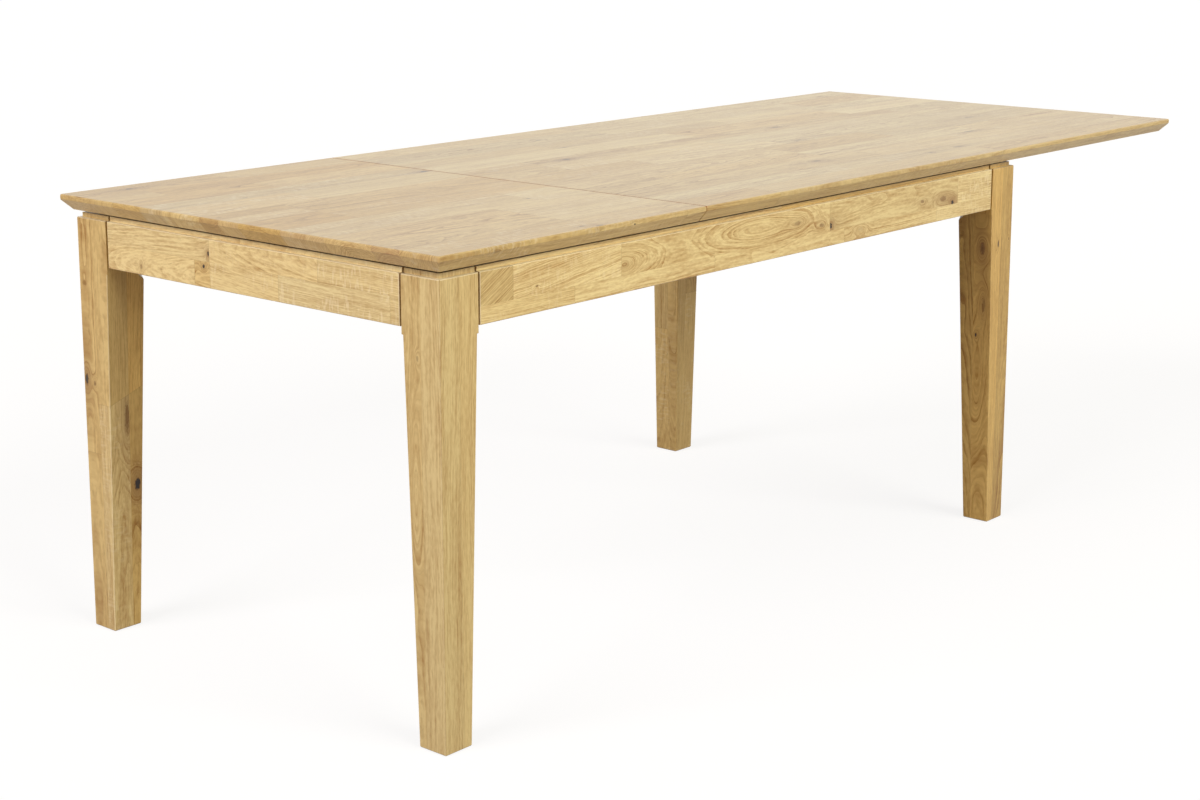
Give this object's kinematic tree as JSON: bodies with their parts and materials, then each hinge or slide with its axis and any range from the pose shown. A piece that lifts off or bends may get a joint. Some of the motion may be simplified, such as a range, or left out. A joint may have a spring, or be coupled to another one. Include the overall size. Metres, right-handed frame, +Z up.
{
  "type": "extending dining table",
  "caption": "Oak dining table with tapered legs, an undercut sliding main top and a loose extension leaf on a grooved rail slide.",
  "frame": {"origin": "on the floor, under the middle of the opened table", "axes": "+X along the table, from the leaf to the main top; +Y from the front edge to the back edge; +Z up"},
  "size_m": [2.21, 0.89, 0.75],
  "materials": {
    "oak": "pale knotty oak, glued from staves, oiled to a low sheen",
    "beech": "planed beech, unfinished",
    "zinc_steel": "zinc plated",
    "brass": "turned, satin",
    "nylon": "moulded, brown",
    "rubber": "matt black"
  },
  "bodies": {
    "frame": {"leg_front_left": "oak", "leg_back_left": "oak", "leg_front_right": "oak", "leg_back_right": "oak", "apron_front": "oak", "apron_back": "oak", "apron_left": "oak", "apron_right": "oak", "guide_rail_front": "beech", "guide_rail_back": "beech", "cross_rail_left": "beech", "cross_rail_right": "beech", "guide_screws": "zinc_steel", "bracket_screws": "zinc_steel", "hanger_bolts": "zinc_steel", "bracket_washers": "zinc_steel", "bracket_nuts": "zinc_steel", "corner_bracket_front_left": "zinc_steel", "corner_bracket_back_left": "zinc_steel", "corner_bracket_front_right": "zinc_steel", "corner_bracket_back_right": "zinc_steel", "lock_sleeve_front": "brass", "lock_sleeve_back": "brass", "guide_glide_front": "nylon", "guide_glide_back": "nylon", "apron_glide_left": "nylon", "apron_glide_right": "nylon", "leg_pad_front_left": "nylon", "leg_pad_back_left": "nylon", "leg_pad_front_right": "nylon", "leg_pad_back_right": "nylon", "foot_glide_front_left": "nylon", "foot_glide_back_left": "nylon", "foot_glide_front_right": "nylon", "foot_glide_back_right": "nylon", "stop_buffer_front_left": "rubber", "stop_buffer_back_left": "rubber", "stop_buffer_front_right": "rubber", "stop_buffer_back_right": "rubber"},
    "main_top": {"main_top": "oak", "runner_front": "beech", "runner_back": "beech", "batten_left": "beech", "batten_middle": "beech", "batten_right": "beech", "runner_screws": "zinc_steel", "batten_screws": "zinc_steel"},
    "leaf": {"leaf": "oak", "leaf_dowels": "beech"},
    "lock_front": {"lock_pin_front": "zinc_steel"},
    "lock_back": {"lock_pin_back": "zinc_steel"}
  },
  "joints": [
    {"name": "top_slide", "type": "slide", "parent": "frame", "child": "main_top", "axis": [1, 0, 0], "range_m": [-0.6, 0]},
    {"name": "leaf_draw", "type": "slide", "parent": "main_top", "child": "leaf", "axis": [-1, 0, 0], "range_m": [0, 0.6]},
    {"name": "lock_front_push", "type": "slide", "parent": "frame", "child": "lock_front", "axis": [0, 1, 0], "range_m": [0, 0.014]},
    {"name": "lock_back_push", "type": "slide", "parent": "frame", "child": "lock_back", "axis": [0, -1, 0], "range_m": [0, 0.014]}
  ]
}
